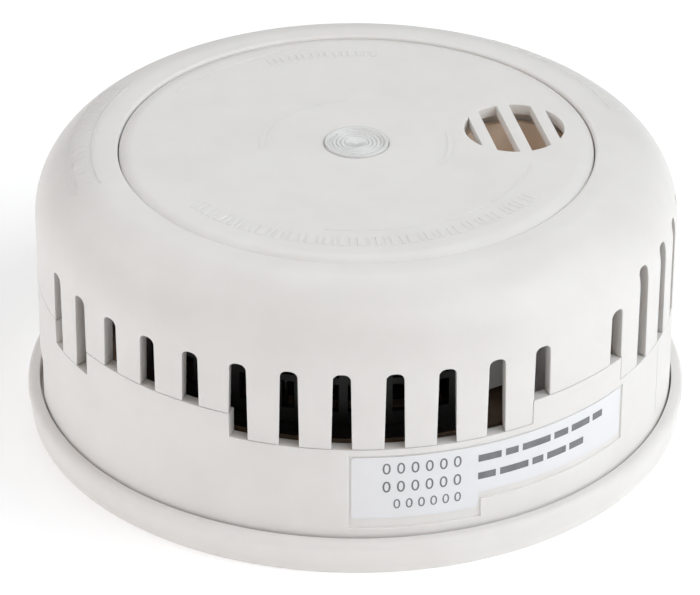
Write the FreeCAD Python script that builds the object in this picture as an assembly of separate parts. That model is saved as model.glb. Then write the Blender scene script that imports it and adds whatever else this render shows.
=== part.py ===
"""Ceiling heat alarm on its twist-off mounting plate.

Millimetres.  The origin is the centre of the mounting plate's ceiling face and +Z points away
from the ceiling, through the plate, the rear housing, the front cover and the test button.
Angles are in degrees, anticlockwise from +X as seen from the button side.
"""
import FreeCAD, Part
import math
import os

Vector = FreeCAD.Vector
UP = Vector(0, 0, 1)
CENTRE = Vector(0, 0, 0)

# ---- overall sizes -----------------------------------------------------------------------------
body_radius = 55.15
overall_height = 50.0            # ceiling face to the flat of the test button

# ---- working clearances --------------------------------------------------------------------------
rotating_gap = 0.3               # between the plate's rim and the housing's skirt
button_gap = 0.2                 # around the test button
seat_gap = 0.05                  # flat faces that rest on each other
seam_gap = 0.1                   # between the cover's edge and the housing's edge
sliding_gap = 0.07               # a plunger or slider in its own hole
fitting_gap = 0.1                # a fixed piece in its own seat

# ---- mounting plate ------------------------------------------------------------------------------
plate_floor = 2.0
plate_rim_height = 6.0
plate_rim_wall = 2.05
plate_foot_inset = 0.55          # the rim's foot is this much narrower than its bulge
plate_bulge_height = 4.6
screw_slot_spacing = 60.0
screw_slot_width = 4.6
screw_slot_length = 12.0
screw_pad_wall = 3.0
screw_pad_height = 0.8
plate_rib_radius = 17.0
plate_rib_width = 1.2
plate_rib_height = 0.8

# ---- bayonet -------------------------------------------------------------------------------------
bayonet_angles = (20.0, 140.0, 260.0)
unlock_angle = 15.0
keeper_half_angle = 7.0
hook_half_angle = 6.0
keeper_post_wall = 1.8
keeper_lip_reach = 4.6
keeper_lip_thickness = 1.4
hook_stem_wall = 1.7
hook_foot_thickness = 1.4
bayonet_wall_gap = 0.65          # between the keeper post and the turning skirt
bayonet_gap = 0.4
stop_width_angle = 1.5

# ---- rear housing --------------------------------------------------------------------------------
wall = 2.3
skirt_floor_gap = 0.5
back_space = 4.5                 # room for the ceiling screws' heads
back_panel = 2.0
seam_low = 22.9
seam_rise = 4.36
wall_groove_angle = -21.4
wall_groove_width = 0.4
wall_groove_depth = 0.15
wall_groove_bottom = 8.4
grip_start_angle = 168.6         # a shallow thumb recess at one side of the skirt
grip_end_angle = 191.4
grip_depth = 1.2
grip_top = 13.0

# ---- date label and its recess -------------------------------------------------------------------
recess_depth = 0.35
recess_start_angle = -91.2
recess_step_angle = -67.9
recess_end_angle = -35.8
recess_top_below_seam = 1.15
recess_left_height = 14.1
recess_right_height = 10.7
label_margin = 0.45
label_left_height = 11.8
label_right_height = 9.0
label_thickness = 0.15

# ---- vents ---------------------------------------------------------------------------------------
vent_count = 40
vent_pitch = 360.0 / vent_count
vent_first_angle = -155.35
vent_top_width = 2.8
vent_bottom_width = 3.3
vent_corner_radius = 1.15
vent_crown = 37.1
vent_tall_extra = 4.1
blank_vents = (13, 27, 39, 40)
tall_vents = range(15, 27)
raised_seams = ((2, 6), (12, 14), (27, 28), (38, 41))   # vents between which the housing stands up

# ---- front cover ---------------------------------------------------------------------------------
cover_below_button = 0.2
dome_radius = 12.0
cover_ring_width = 14.4          # cover's outside to the button opening
opening_edge_radius = 0.5
collar_wall = 1.6
collar_depth = 5.8
baffle_wall = 1.5
baffle_board_gap = 2.4
baffle_guard_gap = 1.5           # degrees between the baffle's ends and the sensor guard

# ---- housing screws ------------------------------------------------------------------------------
joint_post_vents = (13, 27, 40)
joint_post_inset = 4.35          # post centre to the housing wall's inside
joint_post_radius = 3.6
joint_plane_above_seam = 1.1
screw_seat_below_joint = 6.0
screw_head_radius = 2.6
screw_head_height = 2.0
screw_head_pocket_radius = 2.9
screw_shank_radius = 1.4
screw_clearance_radius = 1.6
screw_grip = 12.0                # thread length inside the cover's post
drive_slot_width = 0.7
drive_slot_depth = 1.1

# ---- test button ---------------------------------------------------------------------------------
button_travel = 1.0
button_plate = 2.0
button_skirt = 1.5
button_edge_width = 2.5          # the plate's edge rolls over this width
button_edge_drop = 0.65          # and falls by this much
button_skirt_depth = 5.6
button_rib_radii = (13.0, 17.5)
button_rib_width = 1.0
button_rib_height = 1.6
clip_angles = (56.9, 146.9, 236.9, 326.9)
clip_half_angle = 4.0
clip_reach = 1.55
clip_height = 1.4
clip_tail = 0.7
grille_angle = 11.9
grille_radius = 8.6
grille_bar_width = 2.15
grille_bar_pitch = 5.75
grille_bar_offsets = (-1, 0, 1)

# ---- indicator lens and lamp ---------------------------------------------------------------------
lens_radius = 5.5
lens_flange = 1.2
lens_rim_height = 0.45
lens_rim_width = 0.6
lens_rim_chamfer = 0.2
lens_pipe_radius = 2.7
lens_boss_wall = 1.3
lens_boss_depth = 4.0
led_radius = 2.5
led_flange_radius = 2.9
led_flange_height = 1.0
led_body_height = 8.6
led_spacer_height = 6.4
led_spacer_radius = 3.0
led_spacer_bore = 1.9
led_leg_radius = 0.25
led_leg_spacing = 2.54
lamp_air_gap = 0.6

# ---- button springs ------------------------------------------------------------------------------
spring_angles = (50.0, 165.0, 285.0)
spring_inset = 5.85              # spring centre to the inside of the button's skirt
spring_length = 12.0
spring_mean_radius = 2.5
spring_wire_radius = 0.3
spring_turns = 6
spring_column_radius = 3.2
spring_shoulder_radius = 4.2
spring_pin_radius = 1.8
spring_pin_length = 3.0

# ---- circuit board -------------------------------------------------------------------------------
board_below_seam = 1.3
board_thickness = 1.6
board_wall_gap = 2.55
board_hole_gap = 0.4
board_screw_angles = (95.0, 150.0, 329.0)
board_screw_inset = 5.85         # screw centre to the housing wall's inside
board_standoff_radius = 3.0
board_screw_head_radius = 2.2
board_screw_head_height = 1.6
board_screw_shank_radius = 1.1
board_screw_length = 8.0

# ---- battery -------------------------------------------------------------------------------------
battery_radius = 8.5
battery_length = 34.5
battery_button_radius = 3.0
battery_button_height = 0.8
battery_edge_radius = 0.8
battery_centre_x = -8.0
battery_wall_gap = 1.9
battery_pad_thickness = 0.5
battery_cutout_gap = 1.2
battery_end_gap = 2.0
cradle_wall = 1.6
cradle_rise = 5.0                # how far the cradle's arms reach up the cell
cradle_half_width = 9.6
cradle_places = (-10.0, 10.0)    # from the cell's middle
tab_width = 4.0
tab_thickness = 0.25
tab_foot = 6.0

# ---- sounder -------------------------------------------------------------------------------------
sounder_radius = 13.55
sounder_wall_gap = 1.1            # to the cover's collar
sounder_wall = 1.4
sounder_height = 13.4
piezo_depth = 1.7                # piezo plate below the top of the sounder's base
piezo_plate_thickness = 0.3
piezo_ceramic_thickness = 0.25
piezo_ceramic_inset = 3.2    # plate's edge to the ceramic's edge
piezo_gasket_thickness = 0.8
piezo_ledge_width = 2.4
piezo_ledge_height = 1.5
horn_flange = 2.0
horn_wall = 1.0
horn_mouth_radius = 9.0
grille_shroud_gap = 0.4          # around the horn's mouth, inside the shroud under the grille
grille_shroud_wall = 1.0
grille_shroud_depth = 3.2
horn_port_radius = 2.6
horn_throat_radius = 4.4
horn_clamp_wall = 1.6
horn_button_gap = 0.8
sounder_wire_radius = 0.45
sounder_wire_pitch = 2.0
sounder_wire_rise = 3.4
sounder_wire_bend = 3.0
sounder_wire_reach = 5.6

# ---- heat sensor and its guard -------------------------------------------------------------------
guard_start_angle = -141.0
guard_end_angle = -66.5
guard_foot_reach = 2.8           # the guard's foot lies on the board outside its wall
guard_foot_thickness = 0.8
guard_foot_start_angle = -124.0
guard_outer_inset = 6.05         # guard's outside to the housing wall's inside
guard_depth = 10.3
guard_wall = 1.2
guard_cover_gap = 4.0            # guard's top to the cover's collar
guard_window_pitch = 4.5
guard_window_width = 2.2
guard_window_sill = 3.4
guard_window_head = 2.2          # upper windows to the roof's underside
guard_window_band = 1.2
sensor_angle = -105.0
sensor_bead_radius = 1.3
sensor_height = 9.0
sensor_lead_radius = 0.25
sensor_lead_pitch = 1.5

# ---- switches ------------------------------------------------------------------------------------
test_switch_place = (-16.0, -8.0)
test_switch_side = 6.2
test_switch_height = 3.6
test_plunger_radius = 1.75
test_plunger_height = 9.5        # plunger top above the board
test_plunger_depth = 2.2         # plunger length inside the switch body
button_stem_radius = 2.0
button_stem_root_radius = 3.2
button_stem_root_height = 3.0
power_switch_place = (-12.0, -20.0)
power_switch_size = (13.0, 6.0, 6.0)
power_switch_travel = 3.0
power_slider_block = (5.0, 3.4, 3.0)
power_slider_stem = (3.0, 3.0)
power_slider_recess = 0.4        # slider's tip above the back panel's outer face
power_slot_gap = 0.4

# ---- small electronic parts ----------------------------------------------------------------------
controller_place = (3.0, -13.0)
controller_size = (12.8, 7.5, 2.3)
controller_legs_per_side = 10
controller_leg_pitch = 1.27
controller_leg_size = (0.45, 1.5, 0.25)
capacitors = ((-31.0, -9.0, 4.0, 11.5), (-24.5, -20.5, 3.15, 9.0))      # x, y, radius, height
capacitor_edge_radius = 0.4
coil_place = (20.0, -20.0)
coil_radius = 4.6
coil_height = 8.0
coil_flange = 1.0
coil_waist = 1.0
transistors = ((30.0, -19.0), (31.0, -13.5))
transistor_radius = 2.3
transistor_flat = 1.3
transistor_height = 4.6
transistor_leg_height = 3.0
transistor_leg_side = 0.45
transistor_leg_pitch = 1.27
chip_size = (2.0, 1.25, 0.55)
chip_rows = ((-8.0, -22.0, 4), (-8.0, 6.0, 3))                          # x, y, number in the row
chip_pitch = 3.2
header_place = (-2.0, 8.5)
header_pins = 4
header_pitch = 2.54
header_block_height = 2.5
header_pin_side = 0.64
header_pin_height = 8.5

# ---- levels and radii that follow from the sizes above ---------------------------------------------
plate_inner_radius = body_radius + rotating_gap
plate_outer_radius = plate_inner_radius + plate_rim_wall
inner_radius = body_radius - wall
skirt_bottom = plate_floor + skirt_floor_gap
panel_under = plate_floor + back_space
panel_top = panel_under + back_panel
seam_high = seam_low + seam_rise
board_top = seam_low - board_below_seam
board_under = board_top - board_thickness
board_radius = inner_radius - board_wall_gap
joint_plane = seam_low + joint_plane_above_seam
cover_top = overall_height - cover_below_button
dome_start = cover_top - dome_radius
opening_radius = body_radius - cover_ring_width
collar_radius = opening_radius + collar_wall
collar_bottom = cover_top - collar_depth
baffle_bottom = board_top + baffle_board_gap
button_radius = opening_radius - button_gap
button_under = overall_height - button_plate
button_inner_radius = button_radius - button_skirt
spring_circle = button_inner_radius - spring_inset
spring_seat = button_under - spring_length
joint_post_circle = inner_radius - joint_post_inset
board_screw_circle = inner_radius - board_screw_inset
screw_seat = joint_plane - screw_seat_below_joint
grille_offset = collar_radius - sounder_wall_gap - sounder_radius
sounder_top = board_top + sounder_height
piezo_under = sounder_top - piezo_depth
piezo_radius = sounder_radius - sounder_wall - fitting_gap
guard_top = collar_bottom - guard_cover_gap
guard_windows_space = guard_top - guard_wall - guard_window_head - board_top - guard_window_sill
guard_window_height = (guard_windows_space - guard_window_band) / 2
guard_outer_radius = inner_radius - guard_outer_inset
guard_inner_radius = guard_outer_radius - guard_depth
keeper_outer_radius = inner_radius - bayonet_wall_gap
keeper_post_radius = keeper_outer_radius - keeper_post_wall
keeper_lip_radius = keeper_outer_radius - keeper_lip_reach
hook_foot_radius = keeper_post_radius - bayonet_gap
hook_stem_outer = keeper_lip_radius - bayonet_gap
hook_stem_inner = hook_stem_outer - hook_stem_wall
hook_foot_top = skirt_bottom + hook_foot_thickness
keeper_lip_under = hook_foot_top + bayonet_gap
battery_axis_z = panel_top + battery_pad_thickness + battery_radius
battery_corner_x = abs(battery_centre_x) + battery_length / 2
battery_reach = collar_radius - battery_wall_gap
battery_centre_y = math.sqrt(battery_reach ** 2 - battery_corner_x ** 2) - battery_radius
led_base = board_top + led_spacer_height
led_top = led_base + led_body_height
lens_pipe_bottom = led_top + button_travel + lamp_air_gap
plunger_top = board_top + test_plunger_height


# ---- shape helpers -------------------------------------------------------------------------------
def polar(radius, angle):
    """X and Y of a point at this radius and angle."""
    return radius * math.cos(math.radians(angle)), radius * math.sin(math.radians(angle))


def vent_angle(number):
    """Direction of a vent place, counted from 1."""
    return vent_first_angle + (number - 1) * vent_pitch


def cylinder(radius, bottom, top, place=(0.0, 0.0)):
    return Part.makeCylinder(radius, top - bottom, Vector(place[0], place[1], bottom))


def tube(outer, inner, bottom, top, place=(0.0, 0.0)):
    return cylinder(outer, bottom, top, place).cut(cylinder(inner, bottom, top, place))


def block(size, bottom, place=(0.0, 0.0)):
    """A box centred on a place, standing on the level called bottom."""
    corner = Vector(place[0] - size[0] / 2, place[1] - size[1] / 2, bottom)
    return Part.makeBox(size[0], size[1], size[2], corner)


def outline(start, *steps):
    """A closed outline of (x, z) points in the XZ plane.

    A step is a point, for a straight line, or a pair of points, for an arc through the first.
    """
    edges = []
    here = Vector(start[0], 0, start[1])
    first = here
    for step in steps:
        if isinstance(step[0], tuple):
            middle = Vector(step[0][0], 0, step[0][1])
            there = Vector(step[1][0], 0, step[1][1])
            edges.append(Part.Arc(here, middle, there).toShape())
        else:
            there = Vector(step[0], 0, step[1])
            edges.append(Part.makeLine(here, there))
        here = there
    edges.append(Part.makeLine(here, first))
    return Part.Face(Part.Wire(edges))


def turned(face, place=(0.0, 0.0)):
    """A solid turned about the vertical line through a place."""
    solid = face.revolve(CENTRE, UP, 360)
    solid.translate(Vector(place[0], place[1], 0))
    return solid


def arc_point(centre, radius, angle):
    """A point on an arc of a section, angle from the outward direction towards +Z."""
    turn = math.radians(angle)
    return centre[0] + radius * math.cos(turn), centre[1] + radius * math.sin(turn)


def ring_part(inner, outer, bottom, top, start_angle, end_angle):
    """A piece of a ring between two angles."""
    section = outline((inner, bottom), (outer, bottom), (outer, top), (inner, top))
    solid = section.revolve(CENTRE, UP, end_angle - start_angle)
    solid.rotate(CENTRE, UP, start_angle)
    return solid


def turn(shape, angle):
    """A copy of a shape, turned about the alarm's axis."""
    copy = shape.copy()
    copy.rotate(CENTRE, UP, angle)
    return copy


def joined(first, others):
    """One clean solid out of pieces that touch."""
    return first.fuse(others).removeSplitter()


def slot_prism(length, width, bottom, top, place):
    """A round-ended slot along X."""
    half = (length - width) / 2
    middle = block((2 * half, width, top - bottom), bottom, place)
    ends = [cylinder(width / 2, bottom, top, (place[0] + side * half, place[1])) for side in (-1, 1)]
    return joined(middle, ends)


def save(name, shape):
    """Write one node, which must be made of closed, valid solids."""
    if not shape.isValid() or not shape.Solids:
        raise ValueError(name + " is not a valid solid")
    shape.exportStep("parts/" + name + ".step")
    print(name, len(shape.Solids), round(shape.Volume, 1))


# ---- mounting plate ------------------------------------------------------------------------------
def mounting_plate():
    """A shallow dish with a bulged rim, two slots for ceiling screws and three bayonet keepers."""
    foot = plate_outer_radius - plate_foot_inset
    rim_round = plate_rim_height - plate_bulge_height
    bulge_centre = (plate_outer_radius - rim_round, plate_bulge_height)
    section = outline(
        (0, 0), (foot - 0.4, 0), (foot, 0.4), (foot, 1.6), (plate_outer_radius, plate_bulge_height),
        (arc_point(bulge_centre, rim_round, 45), (bulge_centre[0], plate_rim_height)),
        (plate_inner_radius, plate_rim_height), (plate_inner_radius, plate_floor), (0, plate_floor))
    plate = turned(section)
    added = [tube(plate_rib_radius + plate_rib_width, plate_rib_radius, plate_floor / 2,
                  plate_floor + plate_rib_height)]
    slots = []
    for side in (-1, 1):
        place = (side * screw_slot_spacing / 2, 0)
        pad_length = screw_slot_length + 2 * screw_pad_wall
        pad_width = screw_slot_width + 2 * screw_pad_wall
        pad_top = plate_floor + screw_pad_height
        added.append(slot_prism(pad_length, pad_width, plate_floor / 2, pad_top, place))
        slots.append(slot_prism(screw_slot_length, screw_slot_width, -1, plate_floor + back_space, place))
    for angle in bayonet_angles:
        added.extend(keeper(angle))
    return joined(plate, added).cut(slots).removeSplitter()


def keeper(angle):
    """The plate's half of one bayonet catch: a post, a lip, and a stop at each end of the turn."""
    start = angle - keeper_half_angle
    end = angle + keeper_half_angle
    stop_end = angle - hook_half_angle - 0.3
    far_stop = angle + unlock_angle + hook_half_angle + 0.5
    lip_top = keeper_lip_under + keeper_lip_thickness
    root = plate_floor / 2
    post = ring_part(keeper_post_radius, keeper_outer_radius, root, lip_top, start - stop_width_angle, end)
    lip = ring_part(keeper_lip_radius, keeper_outer_radius, keeper_lip_under, lip_top,
                    start - stop_width_angle, end)
    stop = ring_part(keeper_lip_radius, keeper_outer_radius, root, lip_top,
                     stop_end - stop_width_angle, stop_end)
    entry_stop = ring_part(keeper_lip_radius, keeper_post_radius, root, hook_foot_top,
                           far_stop, far_stop + stop_width_angle)
    return [post, lip, stop, entry_stop]


# ---- rear housing --------------------------------------------------------------------------------
def raised_spans(side_gap):
    """The angles between which the housing's edge stands up into the cover."""
    half_vent = math.degrees(vent_bottom_width / 2 / body_radius)
    spans = []
    for first, last in raised_seams:
        outward = -1 if first == 12 else 1
        start = vent_angle(first) + outward * half_vent - side_gap
        end = vent_angle(last) - outward * half_vent + side_gap
        spans.append((start, end))
    return spans


def rear_housing():
    """A cup with a skirt that turns inside the plate, bayonet hooks, and everything the board sits on."""
    section = outline(
        (inner_radius, skirt_bottom), (body_radius, skirt_bottom), (body_radius, seam_high),
        (inner_radius, seam_high), (inner_radius, panel_top), (0, panel_top), (0, panel_under),
        (inner_radius, panel_under))
    shell = turned(section)
    cuts = []
    spans = sorted(raised_spans(0))
    for number, span in enumerate(spans):
        following = spans[(number + 1) % len(spans)][0]
        if following < span[1]:
            following += 360
        cuts.append(ring_part(inner_radius - 1, body_radius + 1, seam_low, seam_high + 1,
                              span[1], following))
    top = seam_low - recess_top_below_seam
    for start, end, height in ((recess_start_angle, recess_step_angle, recess_left_height),
                               (recess_step_angle - 0.1, recess_end_angle, recess_right_height)):
        cuts.append(ring_part(body_radius - recess_depth, body_radius + 1, top - height, top, start, end))
    groove_half = math.degrees(wall_groove_width / 2 / body_radius)
    cuts.append(ring_part(body_radius - wall_groove_depth, body_radius + 1,
                          wall_groove_bottom, seam_low + 1,
                          wall_groove_angle - groove_half, wall_groove_angle + groove_half))
    cuts.append(ring_part(body_radius - grip_depth, body_radius + 1, 0, grip_top,
                          grip_start_angle, grip_end_angle))
    root = panel_under + back_panel / 2
    added = []
    for angle in bayonet_angles:
        added.extend(hook(angle))
    for angle in spring_angles:
        place = polar(spring_circle, angle)
        added.append(cylinder(spring_shoulder_radius, root, board_under, place))
        added.append(cylinder(spring_column_radius, root, spring_seat, place))
        added.append(cylinder(spring_pin_radius, root, spring_seat + spring_pin_length, place))
    for angle in board_screw_angles:
        place = polar(board_screw_circle, angle)
        added.append(cylinder(board_standoff_radius, root, board_under, place))
        pilot_bottom = board_top - board_screw_length - 1
        cuts.append(cylinder(board_screw_shank_radius, pilot_bottom, board_under + 1, place))
    for number in joint_post_vents:
        place = polar(joint_post_circle, vent_angle(number))
        added.append(cylinder(joint_post_radius, root, joint_plane, place))
        cuts.append(cylinder(screw_head_pocket_radius, panel_under - 1, screw_seat, place))
        cuts.append(cylinder(screw_clearance_radius, panel_under - 1, joint_plane + 1, place))
    added.extend(battery_cradle(root))
    slot_size = (power_slider_stem[0] + power_switch_travel + 2 * power_slot_gap,
                 power_slider_stem[1] + 2 * power_slot_gap, 3 * back_panel)
    slot_place = (power_switch_place[0] + power_switch_travel / 2, power_switch_place[1])
    cuts.append(block(slot_size, panel_under - back_panel, slot_place))
    return joined(shell, added).cut(cuts).removeSplitter()


def hook(angle):
    """The housing's half of one bayonet catch: a stem under the panel and a foot that points outward."""
    start = angle - hook_half_angle
    end = angle + hook_half_angle
    root = panel_under + back_panel / 2
    stem = ring_part(hook_stem_inner, hook_stem_outer, skirt_bottom, root, start, end)
    foot = ring_part(hook_stem_inner, hook_foot_radius, skirt_bottom, hook_foot_top, start, end)
    return [stem, foot]


def battery_cradle(root):
    """Two saddles that hold the cell by its sides."""
    cell = Part.makeCylinder(battery_radius + fitting_gap, battery_length * 2,
                             Vector(battery_centre_x - battery_length, battery_centre_y, battery_axis_z),
                             Vector(1, 0, 0))
    saddles = []
    for offset in cradle_places:
        size = (cradle_wall, 2 * cradle_half_width, panel_top + cradle_rise - root)
        saddle = block(size, root, (battery_centre_x + offset, battery_centre_y))
        saddles.append(saddle.cut(cell))
    return saddles


# ---- front cover ---------------------------------------------------------------------------------
def mid_wall_envelope():
    """A solid that ends half way through the cover's wall, to trim the pieces that hang inside it."""
    half = wall / 2
    radius = dome_radius - half
    centre = (body_radius - dome_radius, dome_start)
    section = outline(
        (0, 0), (body_radius - half, 0), (body_radius - half, dome_start),
        (arc_point(centre, radius, 45), (centre[0], cover_top - half)), (0, cover_top - half))
    return turned(section)


def front_cover():
    """A domed shell with a ring of vents, a collar for the button and a baffle behind the vents."""
    edge = seam_low + seam_gap
    centre = (body_radius - dome_radius, dome_start)
    lip_centre = (opening_radius + opening_edge_radius, cover_top - opening_edge_radius)
    section = outline(
        (body_radius, edge), (body_radius, dome_start),
        (arc_point(centre, dome_radius, 45), (centre[0], cover_top)),
        (lip_centre[0], cover_top),
        (arc_point(lip_centre, opening_edge_radius, 135), (opening_radius, lip_centre[1])),
        (opening_radius, collar_bottom), (collar_radius, collar_bottom), (collar_radius, cover_top - wall),
        (centre[0], cover_top - wall),
        (arc_point(centre, dome_radius - wall, 45), (inner_radius, dome_start)),
        (inner_radius, edge))
    shell = turned(section)
    baffle = ring_part(collar_radius, collar_radius + baffle_wall, baffle_bottom, cover_top,
                       guard_end_angle + baffle_guard_gap, guard_start_angle - baffle_guard_gap + 360)
    envelope = mid_wall_envelope()
    hung = [baffle.common(envelope)]
    pilots = []
    for number in joint_post_vents:
        place = polar(joint_post_circle, vent_angle(number))
        hung.append(cylinder(joint_post_radius, joint_plane, cover_top, place).common(envelope))
        pilots.append(cylinder(screw_shank_radius, joint_plane - 1, joint_plane + screw_grip + 1, place))
    gap_angle = math.degrees(seam_gap / body_radius)
    cuts = [ring_part(inner_radius - 1, body_radius + 1, seam_low - 1, seam_high + seam_gap, start, end)
            for start, end in raised_spans(gap_angle)]
    cuts.extend(vent_cutter(number) for number in range(1, vent_count + 1) if number not in blank_vents)
    return joined(shell, hung).cut(cuts + pilots).removeSplitter()


def vent_cutter(number):
    """The open-bottomed slot of one vent, wider at the seam, with rounded upper corners."""
    crown = vent_crown + (vent_tall_extra if number in tall_vents else 0)
    bottom = seam_low - 1
    half_top = vent_top_width / 2
    half_bottom = vent_bottom_width / 2
    round_z = crown - vent_corner_radius
    right = (half_top - vent_corner_radius, round_z)
    left = (-right[0], round_z)
    face = outline(
        (-half_bottom, bottom), (half_bottom, bottom), (half_top, round_z),
        (arc_point(right, vent_corner_radius, 45), (right[0], crown)), (left[0], crown),
        (arc_point(left, vent_corner_radius, 135), (-half_top, round_z)))
    cutter = face.extrude(Vector(0, 2 * wall, 0))
    cutter.translate(Vector(0, inner_radius - wall / 2, 0))
    return turn(cutter, vent_angle(number) - 90)


def housing_screws():
    """Three pan-head screws that pull the housing up against the cover's posts."""
    screws = []
    for number in joint_post_vents:
        place = polar(joint_post_circle, vent_angle(number))
        head_bottom = screw_seat - screw_head_height
        shank_radius = screw_shank_radius
        screw = joined(cylinder(screw_head_radius, head_bottom, screw_seat, place),
                       [cylinder(shank_radius, screw_seat, joint_plane + screw_grip, place)])
        screws.append(screw.cut(cross_recess(head_bottom - 1, drive_slot_depth + 1, place)))
    return Part.makeCompound(screws)


def cross_recess(bottom, depth, place):
    """The two crossed grooves of a screwdriver recess."""
    reach = 1.5 * screw_head_radius
    return [block((reach, drive_slot_width, depth), bottom, place),
            block((drive_slot_width, reach, depth), bottom, place)]


def date_label():
    """A stepped paper label that lies in the housing's recess."""
    inner = body_radius - recess_depth
    outer = inner + label_thickness
    margin_angle = math.degrees(label_margin / body_radius)
    top = seam_low - recess_top_below_seam - label_margin
    step = recess_step_angle - margin_angle
    tall = ring_part(inner, outer, top - label_left_height, top, recess_start_angle + margin_angle, step)
    short = ring_part(inner, outer, top - label_right_height, top, step, recess_end_angle - margin_angle)
    return joined(tall, [short])


# ---- test button, its lens and its springs -------------------------------------------------------
def test_button():
    """The large round button: a grille with a shroud under it, and four clips on the skirt."""
    edge_start = button_radius - button_edge_width
    edge_arc = (button_edge_width ** 2 + button_edge_drop ** 2) / (2 * button_edge_drop)
    edge_middle = arc_point((edge_start, overall_height - edge_arc), edge_arc,
                            90 - math.degrees(math.asin(button_edge_width / edge_arc)) / 2)
    skirt_bottom_z = overall_height - button_skirt_depth
    section = outline(
        (0, overall_height), (edge_start, overall_height),
        (edge_middle, (button_radius, overall_height - button_edge_drop)),
        (button_radius, skirt_bottom_z), (button_inner_radius, skirt_bottom_z),
        (button_inner_radius, button_under), (0, button_under))
    root = overall_height - button_plate / 2
    boss_radius = lens_pipe_radius + fitting_gap + lens_boss_wall
    added = [cylinder(boss_radius, button_under - lens_boss_depth, root)]
    for radius in button_rib_radii:
        added.append(tube(radius + button_rib_width, radius, button_under - button_rib_height, root))
    for angle in clip_angles:
        added.extend(clip(angle, skirt_bottom_z))
    for angle in spring_angles:
        place = polar(spring_circle, angle)
        added.append(cylinder(spring_pin_radius, button_under - spring_pin_length, root, place))
    added.append(cylinder(button_stem_radius, plunger_top, root, test_switch_place))
    stem_root_bottom = button_under - button_stem_root_height
    added.append(cylinder(button_stem_root_radius, stem_root_bottom, root, test_switch_place))
    sounder_place = polar(grille_offset, grille_angle)
    clear = horn_mouth_radius + horn_wall + grille_shroud_gap
    shroud_edge = button_under - grille_shroud_depth
    added.append(cylinder(clear + grille_shroud_wall, shroud_edge, root, sounder_place))
    cuts = [cylinder(clear, shroud_edge, button_under, sounder_place)]
    cuts.append(cylinder(lens_radius + fitting_gap, overall_height - lens_flange, overall_height + 1))
    cuts.append(cylinder(lens_pipe_radius + fitting_gap, 0, overall_height))
    button = joined(turned(section), added).cut(cuts)
    return button.cut(grille_openings()).removeSplitter()


def clip(angle, skirt_bottom_z):
    """One clip that hooks under the cover's collar."""
    start = angle - clip_half_angle
    end = angle + clip_half_angle
    top = collar_bottom - seat_gap
    leg = ring_part(button_inner_radius, button_radius, top - clip_height - clip_tail,
                    skirt_bottom_z + 1, start, end)
    tooth = ring_part(button_inner_radius, button_radius + clip_reach, top - clip_height, top, start, end)
    return [leg, tooth]


def grille_openings():
    """The round opening over the sounder, less the bars that cross it."""
    hole = cylinder(grille_radius, button_under - 1, overall_height + 1, (grille_offset, 0))
    bars = []
    for number in grille_bar_offsets:
        size = (grille_bar_width, 3 * grille_radius, 2 * button_plate + 2)
        bars.append(block(size, button_under - 2, (grille_offset + number * grille_bar_pitch, 0)))
    return turn(hole.cut(bars), grille_angle)


def light_lens():
    """A clear flanged lens with a light pipe that reaches down to the lamp."""
    flange_bottom = overall_height - lens_flange
    rim_top = overall_height + lens_rim_height
    rim_inner = lens_radius - lens_rim_width
    section = outline(
        (0, lens_pipe_bottom), (lens_pipe_radius, lens_pipe_bottom), (lens_pipe_radius, flange_bottom),
        (lens_radius, flange_bottom), (lens_radius, rim_top - lens_rim_chamfer),
        (lens_radius - lens_rim_chamfer, rim_top), (rim_inner, rim_top),
        (rim_inner - lens_rim_height, overall_height), (0, overall_height))
    return turned(section)


def button_springs():
    """Three light compression springs that lift the button."""
    inset = spring_wire_radius + seat_gap
    pitch = (spring_length - 2 * inset) / spring_turns
    springs = []
    for angle in spring_angles:
        place = polar(spring_circle, angle)
        path = Part.makeHelix(pitch, spring_length - 2 * inset, spring_mean_radius)
        start = Vector(spring_mean_radius, 0, 0)
        wire = Part.Wire(Part.makeCircle(spring_wire_radius, start, Vector(0, 1, 0)))
        coil = Part.Wire(path).makePipeShell([wire], True, True)
        coil.translate(Vector(place[0], place[1], spring_seat + inset))
        springs.append(coil)
    return Part.makeCompound(springs)


# ---- circuit board and what fixes it -------------------------------------------------------------
def battery_window():
    """Length, width and place of the board's opening round the cell."""
    length = battery_length + 2 * battery_end_gap
    width = 2 * (battery_radius + battery_cutout_gap)
    return length, width, (battery_centre_x, battery_centre_y)


def circuit_board():
    """A round board, notched for the posts and open in the middle of its rear half for the battery."""
    board = cylinder(board_radius, board_under, board_top)
    length, width, place = battery_window()
    cuts = [block((length, width, 4 * board_thickness), board_under - board_thickness, place)]
    bottom = board_under - 1
    top = board_top + 1
    for angle in spring_angles:
        place = polar(spring_circle, angle)
        cuts.append(cylinder(spring_column_radius + board_hole_gap, bottom, top, place))
    for number in joint_post_vents:
        post_place = polar(joint_post_circle, vent_angle(number))
        cuts.append(cylinder(joint_post_radius + board_hole_gap, bottom, top, post_place))
        outer_place = polar(joint_post_circle + joint_post_radius, vent_angle(number))
        cuts.append(cylinder(joint_post_radius + board_hole_gap, bottom, top, outer_place))
    for angle in board_screw_angles:
        cuts.append(cylinder(board_screw_shank_radius + board_hole_gap, bottom, top,
                             polar(board_screw_circle, angle)))
    return board.cut(cuts)


def board_screws():
    """Three small screws that hold the board down on its standoffs."""
    screws = []
    for angle in board_screw_angles:
        place = polar(board_screw_circle, angle)
        head_top = board_top + board_screw_head_height
        shank = cylinder(board_screw_shank_radius, board_top - board_screw_length, board_top, place)
        screw = joined(cylinder(board_screw_head_radius, board_top, head_top, place), [shank])
        screws.append(screw.cut(cross_recess(head_top - 0.8, 2, place)))
    return Part.makeCompound(screws)


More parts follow.
